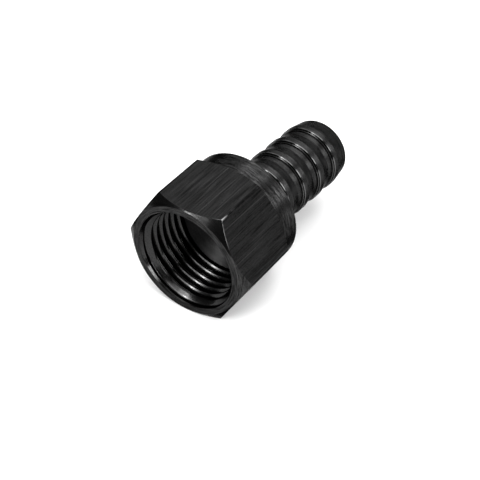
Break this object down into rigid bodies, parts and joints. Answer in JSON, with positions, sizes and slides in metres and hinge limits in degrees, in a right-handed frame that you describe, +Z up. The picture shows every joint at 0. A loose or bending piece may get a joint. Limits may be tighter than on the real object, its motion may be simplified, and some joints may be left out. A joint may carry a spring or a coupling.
{
  "type": "swivel hose barb fitting",
  "caption": "Black metal hose fitting: a hexagon nut with a female pipe thread that swivels on a barbed hose tail.",
  "frame": {"origin": "centre of the nut's threaded mouth, in the plane of its flat ring", "axes": "+X along the nut's axis from the mouth towards the hose, +Z up with one flat of the hexagon up and one down"},
  "size_m": [0.0458, 0.0276, 0.024],
  "materials": {
    "black_anodised_nut": "black anodised, drawn flats with fine scratches along them, turned collar, chamfers and mouth",
    "black_anodised_tail": "black anodised over fine turning marks"
  },
  "bodies": {
    "nut": {"swivel_nut": "black_anodised_nut"},
    "tail": {"barbed_tail": "black_anodised_tail"}
  },
  "joints": [
    {"name": "swivel", "type": "hinge", "parent": "nut", "child": "tail", "pos_m": [0.00645, 0, 0], "axis": [0.9992, -0.0336, -0.0216], "continuous": true}
  ]
}
